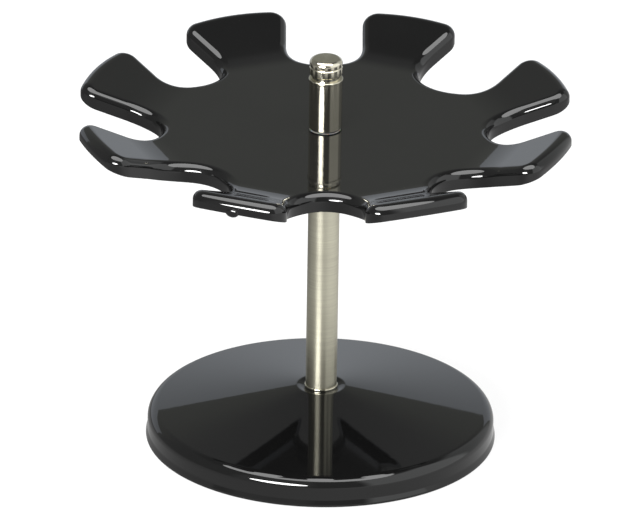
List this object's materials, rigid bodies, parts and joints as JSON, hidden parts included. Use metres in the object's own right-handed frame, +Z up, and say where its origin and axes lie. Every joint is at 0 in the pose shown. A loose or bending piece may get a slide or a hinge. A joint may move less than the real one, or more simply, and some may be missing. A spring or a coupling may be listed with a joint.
{
  "type": "document stamp carousel",
  "caption": "Round desk rack for hand stamps: a glossy plate with turned-up arms and slots that spins on a slim post over a weighted base.",
  "frame": {"origin": "on the table, under the centre of the post", "axes": "+Z up along the post's axis, +X through the middle of one of the narrower slots"},
  "size_m": [0.1554, 0.1554, 0.1312],
  "materials": {
    "black_gloss": "high-gloss black, smooth as moulded",
    "brushed_nickel": "steel tube, finely brushed and nickel plated, slightly warm",
    "polished_nickel": "turned steel, polished and nickel plated",
    "plated_steel": "zinc plated steel, inside",
    "brass": "turned brass, inside",
    "white_nylon": "natural nylon, moulded",
    "black_nylon": "black nylon",
    "cast_iron": "cast iron, bare, inside the base",
    "grey_felt": "dark grey felt, glued under the weight"
  },
  "bodies": {
    "stand": {"base_pad": "grey_felt", "base_weight": "cast_iron", "base_cover": "black_gloss", "tie_rod": "plated_steel", "tie_rod_nut": "plated_steel", "spring_washer": "plated_steel", "flat_washer": "plated_steel", "foot_ring": "polished_nickel", "post_tube": "brushed_nickel", "lower_tube_plug": "plated_steel", "upper_tube_plug": "brushed_nickel", "lower_thrust_washer": "white_nylon", "bearing_sleeve": "brass", "upper_thrust_washer": "black_nylon", "handle_plug": "plated_steel", "handle_sleeve": "polished_nickel", "handle_cap": "polished_nickel"},
    "carousel": {"carousel_plate": "black_gloss", "hub_bush": "white_nylon"}
  },
  "joints": [
    {"name": "carousel_spin", "type": "hinge", "parent": "stand", "child": "carousel", "pos_m": [0, 0, 0.107], "axis": [0, 0, 1], "continuous": true}
  ]
}
